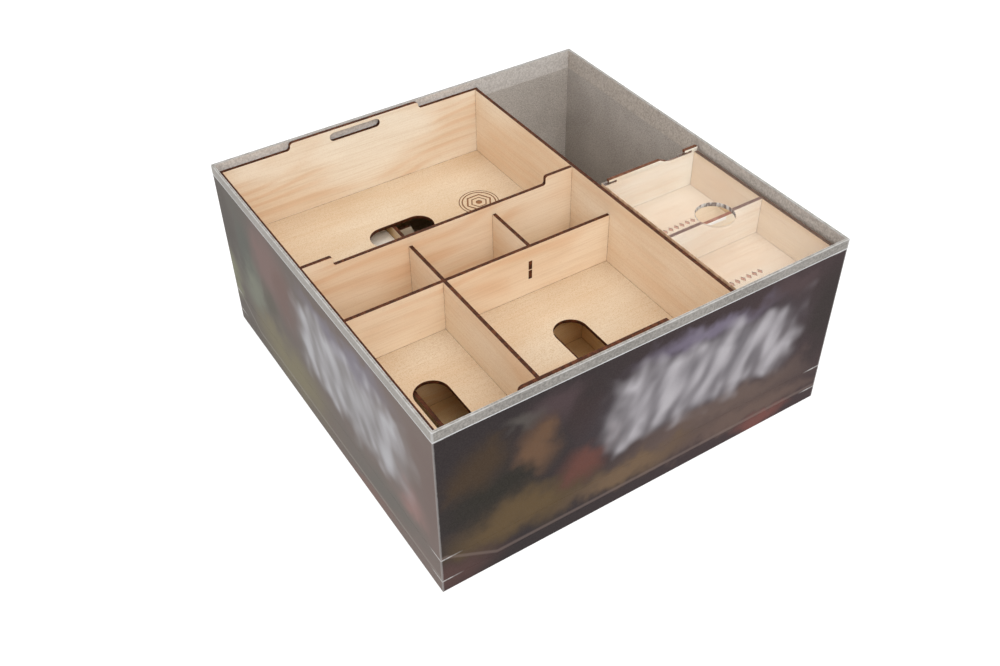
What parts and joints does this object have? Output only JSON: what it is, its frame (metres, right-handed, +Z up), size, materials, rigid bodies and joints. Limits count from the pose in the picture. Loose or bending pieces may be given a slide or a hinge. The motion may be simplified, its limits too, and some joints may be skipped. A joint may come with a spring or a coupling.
{
  "type": "box insert organizer",
  "caption": "Stacked laser-cut plywood trays with dividers, finger holes and a clear sliding lid, filling a square rigid game carton.",
  "frame": {"origin": "centre of the carton's footprint on the table", "axes": "+X right along the front, +Y to the back, +Z up; the big tray's hand slots are in its front and back walls"},
  "size_m": [0.2982, 0.2982, 0.1365],
  "materials": {
    "plywood": "raw maple plywood, charred laser-cut edges",
    "greyboard": "matte",
    "printed_paper": "dark printed pattern, satin laminate",
    "rim_paper": "light grey textured paper",
    "lining_paper": "grey textured paper",
    "pale_card": "matte",
    "clear_acrylic": "clear, polished"
  },
  "bodies": {
    "carton": {"carton_base": "greyboard", "carton_front_wall": "greyboard", "carton_back_wall": "greyboard", "carton_left_wall": "greyboard", "carton_right_wall": "greyboard", "foot_band": "printed_paper", "middle_band": "printed_paper", "printed_wrap": "printed_paper", "rim_binding": "rim_paper", "wall_lining": "lining_paper", "base_lining": "lining_paper"},
    "rear_tray": {"rear_tray_floor": "plywood", "rear_tray_front_wall": "plywood", "rear_tray_back_wall": "plywood", "rear_tray_left_wall": "plywood", "rear_tray_right_wall": "plywood", "rear_tray_long_divider": "plywood", "rear_tray_cross_divider": "plywood", "card_spacer": "pale_card"},
    "bottom_tray": {"bottom_tray_floor": "plywood", "bottom_tray_front_wall": "plywood", "bottom_tray_back_wall": "plywood", "bottom_tray_left_wall": "plywood", "bottom_tray_right_wall": "plywood", "bottom_tray_divider": "plywood"},
    "middle_tray": {"middle_tray_floor": "plywood", "middle_tray_front_wall": "plywood", "middle_tray_back_wall": "plywood", "middle_tray_left_wall": "plywood", "middle_tray_right_wall": "plywood", "middle_tray_left_divider": "plywood", "middle_tray_centre_divider": "plywood", "middle_tray_right_divider": "plywood"},
    "big_tray": {"big_tray_floor": "plywood", "big_tray_front_wall": "plywood", "big_tray_back_wall": "plywood", "big_tray_left_wall": "plywood", "big_tray_right_wall": "plywood", "rear_cross_wall": "plywood", "front_cross_wall": "plywood", "long_divider": "plywood", "short_divider": "plywood"},
    "lower_bits": {"lower_bits_floor": "plywood", "lower_bits_front_wall": "plywood", "lower_bits_back_wall": "plywood", "lower_bits_left_wall": "plywood", "lower_bits_right_wall": "plywood"},
    "upper_bits": {"upper_bits_floor": "plywood", "upper_bits_front_wall": "plywood", "upper_bits_back_wall": "plywood", "upper_bits_left_wall": "plywood", "upper_bits_right_wall": "plywood"},
    "token_tray": {"token_tray_floor": "plywood", "token_tray_front_wall": "plywood", "token_tray_back_wall": "plywood", "token_tray_left_wall": "plywood", "token_tray_right_wall": "plywood", "token_divider": "plywood"},
    "token_lid": {"token_lid": "clear_acrylic"}
  },
  "joints": [
    {"name": "rear_tray_lift", "type": "slide", "parent": "carton", "child": "rear_tray", "axis": [0, 0, 1], "range_m": [0, 0.15]},
    {"name": "bottom_tray_lift", "type": "slide", "parent": "rear_tray", "child": "bottom_tray", "axis": [0, 0, 1], "range_m": [0, 0.15]},
    {"name": "middle_tray_lift", "type": "slide", "parent": "bottom_tray", "child": "middle_tray", "axis": [0, 0, 1], "range_m": [0, 0.11]},
    {"name": "big_tray_lift", "type": "slide", "parent": "middle_tray", "child": "big_tray", "axis": [0, 0, 1], "range_m": [0, 0.08]},
    {"name": "lower_bits_lift", "type": "slide", "parent": "carton", "child": "lower_bits", "axis": [0, 0, 1], "range_m": [0, 0.15]},
    {"name": "upper_bits_lift", "type": "slide", "parent": "lower_bits", "child": "upper_bits", "axis": [0, 0, 1], "range_m": [0, 0.1]},
    {"name": "token_tray_lift", "type": "slide", "parent": "upper_bits", "child": "token_tray", "axis": [0, 0, 1], "range_m": [0, 0.05]},
    {"name": "lid_unlock", "type": "slide", "parent": "token_tray", "child": "token_lid", "axis": [-1, 0, 0], "range_m": [0, 0.0022]}
  ]
}
